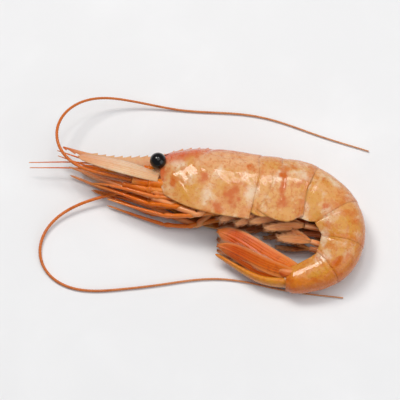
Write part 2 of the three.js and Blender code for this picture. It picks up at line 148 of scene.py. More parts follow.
def place(along, back, left):
    """Midline point at along, plus back times the direction of the back, plus left upwards."""
    along, back, left = np.broadcast_arrays(*(np.asarray(v, float) for v in (along, back, left)))
    angle = heading(along)
    ahead = np.minimum(along, 0)
    x = np.interp(along, steps, line_x) + ahead * np.cos(angle) + back * np.sin(angle)
    y = np.interp(along, steps, line_y) - ahead * np.sin(angle) + back * np.cos(angle)
    height = REST_HEIGHT - TAIL_DROOP * smooth((along - DROOP_START) / (DROOP_END - DROOP_START))
    return np.stack([x, y, height + left], -1)


def direction(along, back, left):
    """The way from the midline towards a place beside it."""
    return place(along, back, left) - place(along, 0, 0)


SIDES = (1, -1)
print("midline from eye to tail fan:", TAIL + TELSON, "mm, curl", FLEX.sum(), "degrees")

# %% [markdown]
# ## Girth
# Half depth and half width are measured at eleven places, and a smooth cubic runs through them. A table of a
# few true measurements is how a fish or a shrimp is usually surveyed, and it is easy to correct.

# %% Girth curves
GIRTH_AT = np.array([0, 5, 14, 26, 41, 57, 71, 85, 97, 108, 122.0])
HALF_DEPTH = np.array([7.6, 10.2, 13.1, 14.5, 14.5, 14.0, 12.2, 10.4, 8.8, 7.2, 5.0])
HALF_WIDTH = np.array([6.8, 8.6, 10.7, 11.5, 11.4, 11.4, 10.6, 9.6, 8.4, 7.2, 5.6])


def cubic(x, xs, ys):
    """A cubic between each two knots, whose slope at a knot is that of the chord between its neighbours."""
    ys = np.asarray(ys, float)
    flat = ys.reshape(len(xs), -1)
    slope = np.empty_like(flat)
    slope[1:-1] = (flat[2:] - flat[:-2]) / (xs[2:] - xs[:-2])[:, None]
    slope[0] = (flat[1] - flat[0]) / (xs[1] - xs[0])
    slope[-1] = (flat[-1] - flat[-2]) / (xs[-1] - xs[-2])
    x = np.clip(x, xs[0], xs[-1])
    i = np.clip(np.searchsorted(xs, x, side="right") - 1, 0, len(xs) - 2)
    span = (xs[i + 1] - xs[i])[..., None]
    t = (x - xs[i])[..., None] / span
    value = (
        (2 * t**3 - 3 * t**2 + 1) * flat[i]
        + (t**3 - 2 * t**2 + t) * span * slope[i]
        + (3 * t**2 - 2 * t**3) * flat[i + 1]
        + (t**3 - t**2) * span * slope[i + 1]
    )
    return value.reshape(np.shape(x) + ys.shape[1:])


def half_depth(along):
    """Half of the body's height from belly to back."""
    return cubic(along, GIRTH_AT, HALF_DEPTH)


def half_width(along):
    """Half of the body's breadth from side to side."""
    return cubic(along, GIRTH_AT, HALF_WIDTH)


print("deepest:", 2 * HALF_DEPTH.max(), "mm; broadest:", 2 * HALF_WIDTH.max(), "mm")

# %% [markdown]
# ## Three ways to make a surface
# Nearly everything on a shrimp is one of three things: a plate, which is a curved sheet with a thickness; a
# closed tube that is carried along a path; or a bristle. Each helper returns points, faces and a small record
# for each point, which the finishes read later: how far along it is, how far round, and a third value that
# each kind of piece uses in its own way.

# %% Small sums on arrays
def unit(vectors):
    """The same directions at length 1."""
    return vectors / (np.linalg.norm(vectors, axis=-1, keepdims=True) + 1e-12)


def normals(grid):
    """Directions square to a grid of points: the cross product of its two slopes. They point inwards."""
    return unit(np.cross(np.gradient(grid, axis=0), np.gradient(grid, axis=1)))


def run_along(path):
    """How far along the path each of its points lies: the lengths of its steps, added up."""
    return np.concatenate([[0], np.cumsum(np.linalg.norm(np.diff(path, axis=0), axis=1))])


def read_at(x, xs, rows):
    """The rows of numbers known at xs, read in straight lines at x."""
    return np.stack([np.interp(x, xs, column) for column in rows.T], -1)


def circle(count):
    """Equal angles once round, as a row."""
    return np.linspace(0, 2 * np.pi, count, endpoint=False)[None, :]


# %% Faces of a grid, plates, lofts
NO_QUADS, NO_TRIANGLES = np.zeros((0, 4), int), np.zeros((0, 3), int)


def grid_faces(rows, columns, wrap=False):
    """Four-cornered faces between neighbouring points of a grid; wrap joins the last column to the first."""
    r = np.arange(rows - 1)[:, None] * columns
    c = np.arange(columns if wrap else columns - 1)[None, :]
    n = (c + 1) % columns
    return np.stack([r + c, r + n, r + columns + n, r + columns + c], -1).reshape(-1, 4)


def outwards(points, quads, triangles):
    """Turns every face round if the volume under the faces comes out negative."""
    corners = np.concatenate([quads[:, [0, 1, 2]], quads[:, [0, 2, 3]], triangles])
    a, b, c = (points[corners[:, k]] for k in range(3))
    if (a * np.cross(b, c)).sum() < 0:
        return quads[:, ::-1], triangles[:, ::-1]
    return quads, triangles


def plate(points, thickness, record):
    """The grid as the outer face, a copy pushed inwards along the normals, and a rim round the edge."""
    rows, columns = points.shape[:2]
    inner = points + normals(points) * np.broadcast_to(thickness, (rows, columns))[..., None]
    outer_faces = grid_faces(rows, columns)
    index = np.arange(rows * columns).reshape(rows, columns)
    edge = np.concatenate([index[0, :-1], index[:-1, -1], index[-1, :0:-1], index[:0:-1, 0]])
    follow = np.roll(edge, -1)
    count = rows * columns
    rim = np.stack([follow, edge, edge + count, follow + count], -1)
    quads = np.concatenate([outer_faces, outer_faces[:, ::-1] + count, rim])
    both = np.concatenate([points.reshape(-1, 3), inner.reshape(-1, 3)])
    notes = np.tile(record.reshape(-1, 3), (2, 1))
    return both, *outwards(both, quads, NO_TRIANGLES), notes


def loft(rings, record):
    """Rings of points joined into a closed skin, with a middle point added at each end."""
    rows, columns = rings.shape[:2]
    points = np.concatenate([rings.reshape(-1, 3), rings[0].mean(0)[None], rings[-1].mean(0)[None]])
    notes = np.concatenate([record.reshape(-1, 3), record[0].mean(0)[None], record[-1].mean(0)[None]])
    quads = grid_faces(rows, columns, wrap=True)
    i = np.arange(columns)
    j = (i + 1) % columns
    first, last = rows * columns, rows * columns + 1
    start = np.stack([j, i, np.full(columns, first)], -1)
    end = np.stack([i + (rows - 1) * columns, j + (rows - 1) * columns, np.full(columns, last)], -1)
    return points, *outwards(points, quads, np.concatenate([start, end])), notes


def record_of(rows, columns, along, share, third=0.0):
    """For each point: how far along, how far round, and a free third value."""
    parts = [np.broadcast_to(v, (rows, columns)) for v in (along, share, third)]
    return np.stack(parts, -1).astype(float)


def frame_along(path, side):
    """Forward, across and up at each path point; across is side made square to forward."""
    forward = unit(np.gradient(path, axis=0))
    side = np.broadcast_to(np.asarray(side, float), path.shape)
    across = unit(side - (side * forward).sum(1, keepdims=True) * forward)
    return forward, across, np.cross(forward, across)


UP = (0.0, 0.0, 1.0)


def sweep(path, half_wide, half_thick, side, sides, third=0.0):
    """An ellipse carried along a path: half_wide along the side direction, half_thick square to it."""
    _, across, up = frame_along(path, side)
    angle = circle(sides)
    wide = np.broadcast_to(half_wide, len(path))[:, None] * np.cos(angle)
    thick = np.broadcast_to(half_thick, len(path))[:, None] * np.sin(angle)
    rings = path[:, None] + wide[..., None] * across[:, None] + thick[..., None] * up[:, None]
    t = np.linspace(0, 1, len(path))[:, None]
    return loft(rings, record_of(len(path), sides, t, np.abs(angle / np.pi - 1), third))


def path_through(knots, count):
    """A smooth path through the knots, with its points evenly spaced."""
    knots = np.asarray(knots, float)
    reach = run_along(knots)
    fine = cubic(np.linspace(0, reach[-1], 40 * len(knots)), reach, knots)
    length = run_along(fine)
    return read_at(np.linspace(0, length[-1], count), length, fine)


def bristles(roots, tips, radius):
    """Three-sided spikes from each root to its tip, as one set of points and triangles."""
    forward = unit(tips - roots)
    across = unit(np.cross(forward, np.where(np.abs(forward[:, 2:]) > 0.9, [[1.0, 0, 0]], [[0, 0, 1.0]])))
    up = np.cross(forward, across)
    angle = circle(3)[..., None]
    ring = roots[:, None] + radius * (np.cos(angle) * across[:, None] + np.sin(angle) * up[:, None])
    points = np.concatenate([ring, tips[:, None]], 1).reshape(-1, 3)
    spike = np.array([[0, 1, 3], [1, 2, 3], [2, 0, 3], [0, 2, 1]])
    triangles = (4 * np.arange(len(roots))[:, None, None] + spike).reshape(-1, 3)
    notes = np.tile([[0.6, 0.5, 0.0]] * 3 + [[1.0, 0.5, 0.0]], (len(roots), 1))
    return points, *outwards(points, NO_QUADS, triangles), notes


print("helpers ready")

# %% [markdown]
# ## From arrays to objects
# A finished piece is one mesh, often of several closed skins, whose points are in metres in the shared frame.
# The frame's origin is the middle of the solid's box, so every point is moved by the place where the midline
# starts, at the eye socket.

# %% A piece
SOCKET = np.array([-16.928, 7.904, 0])


def piece(name, parts, material, node="shrimp"):
    """Joins skins into one mesh object, in metres, with the points' record as the attribute 'grown'."""
    offsets = np.cumsum([0] + [len(p[0]) for p in parts])
    points = np.concatenate([p[0] for p in parts]) + SOCKET
    points[:, 2] = np.maximum(points[:, 2], 0)
    faces = sum(((p[1] + o).tolist() + (p[2] + o).tolist() for p, o in zip(parts, offsets)), [])
    mesh = bpy.data.meshes.new(name)
    mesh.from_pydata((points * MM).tolist(), [], faces)
    grown = mesh.attributes.new("grown", "FLOAT_VECTOR", "POINT")
    grown.data.foreach_set("vector", np.concatenate([p[3] for p in parts]).astype(np.float32).ravel())
    mesh.polygons.foreach_set("use_smooth", np.ones(len(mesh.polygons), bool))
    mesh.materials.append(material)
    made = bpy.data.objects.new(name, mesh)
    bpy.context.scene.collection.objects.link(made)
    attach(made, "root")
    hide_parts(node)
    print(f"{name}: {len(points)} points, {len(faces)} faces")


# %% [markdown]
# ## Finishes
# Raw shrimp shell is thin, wet and see-through: pale peach with clouds of orange, fine red specks, and a red
# crest over the head. All of it is procedural. Effects that are used again and again are node groups: clouds,
# specks, placed marks, and the wet surface's fine relief. The light that soaks into shell and flesh is
# subsurface scattering, and the film of water is a thin clear coat.

# %% Node helpers
def srgb(red, green, blue):
    """A colour as read from a picture, 0 to 255, as linear light."""
    c = np.array([red, green, blue]) / 255
    linear = np.where(c <= 0.04045, c / 12.92, ((c + 0.055) / 1.055) ** 2.4)
    return (*linear.tolist(), 1.0)


def add_node(tree, kind, inputs, **settings):
    """A node with its settings, each input given as a value or as the socket that feeds it."""
    made = tree.nodes.new(kind)
    for key, value in settings.items():
        setattr(made, key, value)
    for key, value in inputs.items():
        if isinstance(value, bpy.types.NodeSocket):
            tree.links.new(value, made.inputs[key])
        else:
            made.inputs[key].default_value = value
    return made


def mix(tree, mask, first, second):
    """The first colour where the mask is 0, the second where it is 1."""
    return add_node(tree, "ShaderNodeMix", {0: mask, 6: first, 7: second}, data_type="RGBA").outputs[2]


def math_node(tree, operation, a, b=0.0, clamp=False):
    """One sum on two numbers."""
    made = add_node(tree, "ShaderNodeMath", {0: a, 1: b}, operation=operation, use_clamp=clamp)
    return made.outputs[0]


def times(tree, a, b, clamp=False):
    """The product of two numbers."""
    return math_node(tree, "MULTIPLY", a, b, clamp)


def fade(tree, value, low, high):
    """0 where the value is at low, 1 where it is at high, eased between."""
    limits = {"Value": value, "From Min": low, "From Max": high}
    return add_node(tree, "ShaderNodeMapRange", limits, interpolation_type="SMOOTHSTEP").outputs["Result"]


def new_group(name, inputs, output, kind="NodeSocketFloat"):
    """An empty node group, the sockets of its inputs, which are numbers, and the socket of its one output."""
    group = bpy.data.node_groups.new(name, "ShaderNodeTree")
    for label, value in inputs.items():
        group.interface.new_socket(label, in_out="INPUT", socket_type="NodeSocketFloat").default_value = value
    group.interface.new_socket(output, in_out="OUTPUT", socket_type=kind)
    given = group.nodes.new("NodeGroupInput").outputs
    return group, given, group.nodes.new("NodeGroupOutput").inputs[output]


def use_group(tree, group, **inputs):
    """Places a node group in a material, with its values, and gives its output."""
    return add_node(tree, "ShaderNodeGroup", inputs, node_tree=group).outputs[0]


def pattern(tree, kind, per_metre, inputs, **settings):
    """A noise or cell texture on the object's own coordinates, at so many features to a metre."""
    spot = tree.nodes.new("ShaderNodeTexCoord").outputs["Object"]
    return add_node(tree, kind, {"Vector": spot, "Scale": per_metre, **inputs}, **settings).outputs


NOISE, CELLS = "ShaderNodeTexNoise", "ShaderNodeTexVoronoi"
print("node helpers ready")

# %% Clouds: soft patches of one size, which cover a part of the surface
clouds, given, out = new_group("Clouds", {"Size": 6.0, "Cover": 0.5, "Softness": 0.1, "Seed": 0.0}, "Mask")
noise = pattern(
    clouds, NOISE, math_node(clouds, "DIVIDE", 1000.0, given["Size"]),
    {"W": given["Seed"], "Detail": 4.0, "Roughness": 0.55, "Distortion": 0.4}, noise_dimensions="4D",
)
edge_low = math_node(clouds, "SUBTRACT", 1.0, given["Cover"])
edge_high = math_node(clouds, "ADD", edge_low, given["Softness"])
clouds.links.new(fade(clouds, noise["Fac"], edge_low, edge_high), out)

# %% Specks: a round dot of its own size in some of the cells
specks, given, out = new_group("Specks", {"Spacing": 0.8, "Radius": 0.3, "Cover": 0.5}, "Mask")
cells = pattern(specks, CELLS, math_node(specks, "DIVIDE", 1000.0, given["Spacing"]), {"Randomness": 1.0})
chosen = add_node(specks, "ShaderNodeSeparateColor", {"Color": cells["Color"]}).outputs
kept = math_node(specks, "LESS_THAN", chosen["Red"], given["Cover"])
size = times(specks, chosen["Green"], given["Radius"])
round_dot = fade(specks, math_node(specks, "SUBTRACT", size, cells["Distance"]), 0.0, 0.12)
specks.links.new(times(specks, round_dot, kept), out)

# %% Mark: one ragged oval patch at a place along the body and a share of the way round
mark, given, out = new_group(
    "Mark", {"Along": 0.0, "Share": 0.0, "At": 0.0, "Level": 0.5, "Length": 3.0, "Height": 0.1}, "Mask",
)
squares = []
for value, middle, reach in (("Along", "At", "Length"), ("Share", "Level", "Height")):
    away = math_node(mark, "SUBTRACT", given[value], given[middle])
    squares.append(math_node(mark, "POWER", math_node(mark, "DIVIDE", away, given[reach]), 2.0))
ragged = pattern(mark, NOISE, 420.0, {"Detail": 3.0})
wander = times(mark, math_node(mark, "SUBTRACT", ragged["Fac"], 0.5), 3.0)
distance = math_node(mark, "ADD", math_node(mark, "ADD", *squares), wander)
mark.links.new(fade(mark, distance, 1.5, -0.3), out)

# %% Wet relief: low swells with a finer grain on them
wet_relief, given, out = new_group(
    "Wet relief", {"Size": 2.5, "Height": 0.2, "Grain": 0.3}, "Normal", "NodeSocketVector",
)
scale = math_node(wet_relief, "DIVIDE", 1000.0, given["Size"])
swells = pattern(wet_relief, NOISE, scale, {"Detail": 3.0, "Roughness": 0.5})
grain = pattern(wet_relief, NOISE, times(wet_relief, scale, 7.0), {"Detail": 2.0})
height = math_node(wet_relief, "ADD", swells["Fac"], times(wet_relief, grain["Fac"], given["Grain"]))
deep = times(wet_relief, given["Height"], MM)
relief = add_node(wet_relief, "ShaderNodeBump", {"Height": height, "Distance": deep, "Strength": 1.0})
wet_relief.links.new(relief.outputs["Normal"], out)
print("groups:", [g.name for g in bpy.data.node_groups])


# %% A wet material
Finish = namedtuple("Finish", "material tree sockets along share third")


def wet_material(name, roughness, soak, soak_radius, coat, relief_size, relief_height):
    """A Principled shader with soaked-in light, a water film, and the shared wet relief as its normal."""
    material = bpy.data.materials.new(name)
    material.use_nodes = True
    tree = material.node_tree
    shader = tree.nodes["Principled BSDF"]
    values = {
        "Roughness": roughness, "Subsurface Weight": soak, "Subsurface Radius": (1.0, 0.45, 0.22),
        "Subsurface Scale": soak_radius * MM, "Specular IOR Level": 0.1, "Coat Weight": coat,
        "Coat Roughness": 0.08, "Coat IOR": 1.33,
    }
    for socket, value in values.items():
        shader.inputs[socket].default_value = value
    wet = use_group(tree, wet_relief, Size=relief_size, Height=relief_height)
    tree.links.new(wet, shader.inputs["Normal"])
    grown = add_node(tree, "ShaderNodeAttribute", {}, attribute_name="grown").outputs["Vector"]
    parts = add_node(tree, "ShaderNodeSeparateXYZ", {"Vector": grown}).outputs
    return Finish(material, tree, shader.inputs, *parts)


def ramp(tree, value, stops):
    """Colours at places from 0 to 1, blended between."""
    made = add_node(tree, "ShaderNodeValToRGB", {"Fac": value})
    elements = made.color_ramp.elements
    elements[0].position, elements[0].color = stops[0]
    elements[1].position, elements[1].color = stops[-1]
    for position, colour in stops[1:-1]:
        elements.new(position).color = colour
    return made.outputs["Color"]


def cloud(tree, size, cover, softness, seed):
    """The mask of the shared clouds at one size in millimetres."""
    return use_group(tree, clouds, Size=size, Cover=cover, Softness=softness, Seed=seed)


def paint_over(finish, mask, amount, colour):
    """One more colour over those that a finish has so far, where the mask says, by at most the amount."""
    tree, base = finish.tree, finish.sockets["Base Color"]
    so_far = base.links[0].from_socket
    tree.links.new(mix(tree, times(tree, mask, amount, True), so_far, colour), base)


# %% [markdown]
# ## The shell's finish
# The side's colour changes from pale peach over the head to deep gold at the tail, and the lower half of each
# side turns golder, partly the shell's own tone and partly painted shade. Over that lie golden and rosy
# clouds, pearly clouds that are partly the shell's milky tone and partly painted sheen, orange blotches, a
# red crest that fades behind the head, and fine red specks. The record of each point says how far along the
# body it is and how far down from the crest, so the colours follow the curl. A few larger marks have places
# of their own, given in the same two numbers; the pearly ones are painted highlights.

# %% Shell material
BODY_SPAN = 160.0
# The pearly colour is partly the shell's own milky tone and partly painted sheen; its placed marks are
# painted highlights.
PEARL_SHEEN, GOLD, ROSE = srgb(232, 206, 176), srgb(206, 142, 44), srgb(212, 130, 76)
ORANGE, RED = srgb(196, 92, 2), srgb(198, 76, 16)
MARKS = [
    # Pearly marks: painted highlights.
    (PEARL_SHEEN, 0.75, [(8, 0.66, 4, 0.08), (21.5, 0.90, 2.5, 0.06), (40, 0.84, 3, 0.08), (59.5, 0.62, 4.5, 0.1),
                   (70.5, 0.41, 3.5, 0.08), (103, 0.87, 5, 0.12), (93, 0.96, 8, 0.07)]),
    (GOLD, 0.85, [(16, 0.9, 5, 0.08), (30, 0.80, 4, 0.1), (66, 0.8, 6, 0.08), (97, 0.68, 4, 0.08),
                  (108, 0.62, 6, 0.12)]),
    (ORANGE, 0.95, [(7, 0.86, 2, 0.05), (19, 0.78, 2, 0.05), (27, 0.96, 3, 0.04), (32, 0.87, 4, 0.09),
                    (38, 0.6, 1.6, 0.06), (52, 0.66, 2.2, 0.05), (53, 0.78, 1.5, 0.14),
                    (53.5, 0.88, 1.8, 0.05), (74.5, 0.81, 1.8, 0.06), (101, 0.6, 3, 0.08)]),
    (RED, 0.8, [(0.5, 0.84, 3.5, 0.14), (4, 0.34, 6, 0.1)]),
]


def shades(*stops):
    """Stops of a ramp from rows of place, red, green and blue."""
    return [(at, srgb(*colour)) for at, *colour in stops]


SIDE = shades(
    (0.00, 212, 158, 120), (0.12, 222, 166, 120), (0.26, 228, 172, 122), (0.40, 224, 164, 106),
    (0.50, 216, 150, 82), (0.60, 208, 130, 48), (0.72, 214, 120, 24), (0.96, 226, 112, 10),
)
CREST = shades(
    (0.00, 204, 78, 26), (0.12, 206, 96, 38), (0.22, 212, 128, 68), (0.42, 212, 134, 66),
    (0.60, 196, 106, 28), (0.90, 200, 90, 10),
)


def shell_material():
    """Peach to gold along the body, with clouds, placed marks, a red crest, ring edges and specks over it."""
    finish = wet_material("wet shell", 0.3, 0.15, 1.0, 1.0, 1.6, 0.42)
    tree, along, share = finish.tree, finish.along, finish.share
    where = math_node(tree, "DIVIDE", along, BODY_SPAN)
    tree.links.new(ramp(tree, where, SIDE), finish.sockets["Base Color"])
    # Pearly clouds: partly the shell's own milky tone, partly painted sheen.
    pearly_sheen = times(tree, cloud(tree, 7.0, 0.52, 0.22, 3.0), fade(tree, along, 125, 85))
    for mask, amount, colour in (
        # Golder lower half of each side: partly the shell's own tone, partly painted shade.
        (fade(tree, share, 0.5, 0.9), 0.6, GOLD),
        (cloud(tree, 11.0, 0.54, 0.16, 4.0), 0.65, GOLD),
        (pearly_sheen, 0.7, PEARL_SHEEN),
        (cloud(tree, 6.0, 0.48, 0.14, 9.0), 0.5, ROSE),
        (cloud(tree, 5.0, 0.48, 0.16, 11.0), 0.6, ORANGE),
        (cloud(tree, 1.7, 0.5, 0.12, 13.0), 0.5, srgb(196, 106, 34)),
    ):
        paint_over(finish, mask, amount, colour)
    for colour, amount, places in MARKS:
        for at, level, length, height in places:
            inputs = {"Along": along, "Share": share, "At": at, "Level": level, "Length": length}
            paint_over(finish, use_group(tree, mark, Height=height, **inputs), amount, colour)
    behind = times(tree, fade(tree, along, 4.0, 27.0), 0.32)
    near_crest = fade(tree, math_node(tree, "ADD", share, behind), 0.74, 0.52)
    streak = math_node(tree, "ADD", cloud(tree, 3.0, 0.55, 0.3, 7.0), 0.7)
    paint_over(finish, times(tree, near_crest, streak, True), 1.0, ramp(tree, where, CREST))
    paint_over(finish, fade(tree, finish.third, 0.82, 0.97), 0.4, ORANGE)
    speck = use_group(tree, specks, Spacing=0.8, Radius=0.45, Cover=0.5)
    paint_over(finish, speck, 0.5, srgb(190, 76, 24))
    limits = {"Value": cloud(tree, 4.0, 0.5, 0.3, 21.0), "To Min": 0.26, "To Max": 0.5}
    film = add_node(tree, "ShaderNodeMapRange", limits).outputs["Result"]
    tree.links.new(film, finish.sockets["Roughness"])
    return finish.material


SHELL = shell_material()
print("shell finish ready")


# %% [markdown]
# ## Finishes of flesh, limbs, fan and eyes
# Flesh is paler and milkier than the shell. Limbs and whips are orange, each a little different along its
# length. The blades have fine lines along them, and those of the fan are deep red-orange with a pale edge.
# One function makes all of these from a ramp and a second colour, and limbs and blades get one or two layers
# more. The eye is a glossy black ball.

# %% Graded finishes
def graded(name, stops, blotch_colour, blotches, roughness=0.32, soak=0.3, soak_radius=1.2):
    """A colour that changes along the piece, with soft blotches and specks of a second colour."""
    finish = wet_material(name, roughness, soak, soak_radius, 0.6, 1.6, 0.12)
    tree = finish.tree
    tree.links.new(ramp(tree, finish.along, stops), finish.sockets["Base Color"])
    paint_over(finish, cloud(tree, 2.4, 0.5, 0.2, 5.0), blotches, blotch_colour)
    speck = use_group(tree, specks, Spacing=0.6, Radius=0.5, Cover=0.4)
    paint_over(finish, speck, 0.3, blotch_colour)
    return finish


def rayed(finish, waves, amount, colour):
    """Fine lines along a blade: a second colour where the sine of waves times the share is high."""
    rays = math_node(finish.tree, "SINE", times(finish.tree, finish.share, waves))
    paint_over(finish, fade(finish.tree, rays, 0.1, 0.9), amount, colour)


# %% Flesh, beak and whips
FLESH = graded(
    "wet flesh", shades((0.0, 222, 160, 114), (1.0, 226, 172, 130)), srgb(206, 112, 60), 0.7,
    soak=0.4, soak_radius=2.0,
).material
BEAK = graded(
    "beak", shades((0.0, 214, 118, 60), (0.3, 216, 150, 104), (0.5, 218, 170, 126), (0.8, 216, 166, 122),
                   (1.0, 200, 98, 44)), srgb(206, 118, 60), 0.35,
).material
WHIP = graded(
    "whip", shades((0.0, 206, 106, 30), (0.3, 196, 104, 40), (1.0, 202, 142, 94)), srgb(156, 68, 20), 0.4,
    roughness=0.4, soak=0.15,
).material

# %% Limbs: the record's third value turns a limb paler and pinker as a whole, a painted highlight on the longest leg
limb_finish = graded(
    "limb", shades((0.0, 218, 136, 48), (0.35, 214, 108, 10), (0.75, 208, 98, 8), (1.0, 216, 136, 66)),
    srgb(170, 72, 4), 0.5,
)
paint_over(limb_finish, limb_finish.third, 0.8, srgb(232, 158, 106))
LIMB = limb_finish.material

# %% Blades: swimmerets, feeler scales, and the fan, whose edges are paler, partly as a painted highlight
paddle_finish = graded(
    "paddle", shades((0.0, 224, 140, 70), (0.4, 220, 122, 52), (1.0, 228, 156, 104)), srgb(190, 84, 26), 0.5,
)
rayed(paddle_finish, 18.0, 0.7, srgb(238, 176, 130))
PADDLE = paddle_finish.material

scale_finish = graded(
    "antennal scale", shades((0.0, 222, 172, 128), (0.45, 226, 192, 156), (1.0, 214, 150, 108)),
    srgb(206, 122, 60), 0.35,
)
rayed(scale_finish, 22.0, 0.4, srgb(208, 136, 86))
SCALE = scale_finish.material

fan_finish = graded(
    "tail fan", shades((0.0, 218, 120, 22), (0.3, 212, 98, 14), (0.8, 196, 72, 8), (1.0, 216, 126, 62)),
    srgb(160, 52, 4), 0.6,
)
rayed(fan_finish, 26.0, 0.4, srgb(226, 124, 50))
# The fan's pale blade edges: partly their own paler margin, partly a painted highlight.
paint_over(fan_finish, fade(fan_finish.tree, fan_finish.share, 0.7, 1.0), 0.7, srgb(218, 142, 84))
FAN = fan_finish.material


# %% Eyes
def eye_material():
    """Near black with a warm brown bloom, very smooth under its water film."""
    finish = wet_material("eye", 0.08, 0.0, 1.0, 1.0, 0.5, 0.01)
    bloom = cloud(finish.tree, 1.5, 0.45, 0.3, 2.0)
    colour = mix(finish.tree, bloom, srgb(10, 8, 8), srgb(34, 20, 15))
    finish.tree.links.new(colour, finish.sockets["Base Color"])
    return finish.material


EYE = eye_material()
print("materials:", [m.name for m in bpy.data.materials])

# %% [markdown]
# ## The shell's cross-section
# Seen from the end, every shell plate is an arch over the back whose sides hang straight down to a hem, like
# a saddle. One function gives that outline for a turn from -1 (right hem) over 0 (crest) to 1 (left hem).

# %% Cross-section and ripples
ARCH_SHARE = 0.74
generator = np.random.default_rng(7)
WAVES = generator.normal(size=(10, 3))
PHASES = generator.uniform(0, 2 * np.pi, 10)


def turns(columns):
    """A row of turns from -1 to 1, their distance from the crest, and how far each is down the side."""
    turn = np.linspace(-1, 1, columns)[None, :]
    share = np.abs(turn)
    return turn, share, np.clip((share - ARCH_SHARE) / (1 - ARCH_SHARE), 0, 1)


def section(depth, width, hem, turn, low, swell=1.0):
    """Back and left of the outline: a quarter ellipse down to the widest place, then a straight side."""
    angle = np.minimum(np.abs(turn) / ARCH_SHARE, 1) * np.pi / 2
    back = np.where(low > 0, -hem * low, depth * np.cos(angle) ** 0.94 * swell)
    left = np.sign(turn) * width * np.sin(angle) * (1 - 0.2 * low**2) * swell
    return back, left


def ripples(points, size):
    """A gentle unevenness from -1 to 1: the mean of ten sine waves in different directions."""
    return np.sin(points @ (WAVES.T / size) + PHASES).mean(-1)


def push_out(points, amount):
    """Moves each grid point outwards, square to the surface."""
    return points - normals(points) * amount[..., None]


# %% [markdown]
# ## The shield over head and chest
# The shield is one thin saddle. Its front edge has a notch for the eye and a small spine below it, its hind
# edge is scooped out a little, and a groove runs down and forwards across its side. The relief is laid on as
# a sum of bells and steps in the two parameters, because each one has a place and a height that can be read
# off a real shell.

# %% Shield
def shield():
    """Along runs from the front edge to the hind edge; the outline is the shared section, plus relief."""
    rows, columns = 170, 241
    t = np.linspace(0, 1, rows)[:, None]
    turn, share, low = turns(columns)
    front = 2.6 * bump(share, 0.27, 0.11) - 3.0 * bump(share, 0.47, 0.035) + 3.6 * low**1.5
    front = front - 0.8 * bump(share, 0.93, 0.04) + 0.6 * bump(share, 0.62, 0.1)
    hind = CARAPACE + 1.5 - 1.3 * bump(share, 0.36, 0.2) - 2.2 * low
    along = front + (hind - front) * t
    depth, width = half_depth(along), half_width(along)
    back, left = section(depth, width, 1.22 * depth, turn, low)
    back = back + 0.9 * smooth((26 - along) / 20) * bump(share, 0, 0.03)
    points = place(along, back, left)
    neck = bump(along, 23 - 13 * share, 1.5) * smooth((share - 0.06) / 0.1) * smooth((0.66 - share) / 0.15)
    gill = bump(share, 0.44, 0.03) * smooth((along - 19) / 5) * smooth((38 - along) / 5)
    cheek = bump(along, 15, 8) * bump(share, 0.52, 0.2)
    hem = smooth((share - 0.95) / 0.03)
    rim = smooth((along - hind + 0.9) / 0.3) - 0.8 * bump(along, hind - 1.5, 0.35)
    tucked = 0.3 * smooth((along - hind + 0.8) / 0.8)
    waves = 0.25 * ripples(points, 3.2) + 0.16 * ripples(points, 1.3) - tucked
    lift = 0.35 * cheek - 0.4 * neck - 0.22 * gill + 0.05 * rim + 0.07 * hem + waves
    thickness = 0.45 * (0.35 + 0.65 * smooth(12 * (1 - t)) * smooth(12 * t))
    return plate(push_out(points, lift), thickness, record_of(rows, columns, along, share, 0.9 * t))


def brow():
    """The joined roots of eyes and feelers, which fill the front opening of the shield."""
    path = path_through(place([9, 2, -3, -7.5], [0, -0.6, -1.6, -2.6], 0), 40)
    t = np.linspace(0, 1, 40)
    swell = (1 - 0.5 * t**2) * (1 + 0.05 * np.sin(t * 26))
    return sweep(path, 6.2 * swell, 5.4 * swell, UP, 40)


piece("shield", [shield()], SHELL)
piece("brow", [brow()], FLESH)

# %% [markdown]
# ## The six rings of the abdomen
# The rings overlap like roof tiles: each one's hind rim lies over the next. Their sides are drawn out into
# rounded flaps, and the second pair of flaps is the broadest, lying over the first and the third. The same
# section is used, with a swell that grows towards the hind rim, and a hem that follows a sine lobe.

# %% Rings
OVERLAP = 0.05
HANG = [0.28, 0.4, 0.24, 0.17, 0.14, 0.03]
FLARE = [0, 8, 2, 1, 1, 0]
PROUD = [-0.02, 0.045, 0, 0, 0, 0]
RISE_AT = [-0.24, 0, 0.12, 0.3, 0.64, 0.9, 1.04]
RISE = [-1, -0.55, -0.3, -0.1, 0.05, 0.05, -0.35]


def ring(number):
    """Along grows with t from under the plate in front to the hind rim; the hem hangs by a rounded lobe."""
    rows, columns = 64, 181
    t = np.linspace(RISE_AT[0], RISE_AT[-1], rows)[:, None]
    turn, share, low = turns(columns)
    along = JOINTS[number] + t * RINGS[number]
    depth, width = half_depth(along), half_width(along)
    lobe = np.sin(np.pi * np.clip((t + 0.3) / 1.42, 0, 1)) ** 0.8
    hem = 0.78 * depth + depth * (0.05 + HANG[number] * lobe)
    rise = OVERLAP * np.interp(t, RISE_AT, RISE)
    if number == len(RINGS) - 1:
        rise = rise - 4 * OVERLAP * smooth((t - 0.9) / 0.14)
    sideways = PROUD[number] or rise
    swell = 1 + rise + (sideways - rise) * smooth((share - 0.4) / 0.3)
    back, left = section(depth, width, hem, turn, low, swell)
    bent = along + FLARE[number] * (t - 0.45) * low**2
    points = place(bent, back, left)
    rim = smooth((t - 0.94) / 0.03) - 0.8 * bump(t, 0.91, 0.03)
    groove = bump(t, 0.16, 0.04)
    hem_rim = smooth((share - 0.95) / 0.03)
    waves = 0.2 * ripples(points, 2.8) + 0.1 * ripples(points, 1.1)
    lift = 0.06 * rim - 0.12 * groove + 0.06 * hem_rim + waves
    thickness = 0.4 * (0.35 + 0.65 * smooth(10 * (RISE_AT[-1] - t)))
    return plate(push_out(points, lift), thickness, record_of(rows, columns, along, share, t))


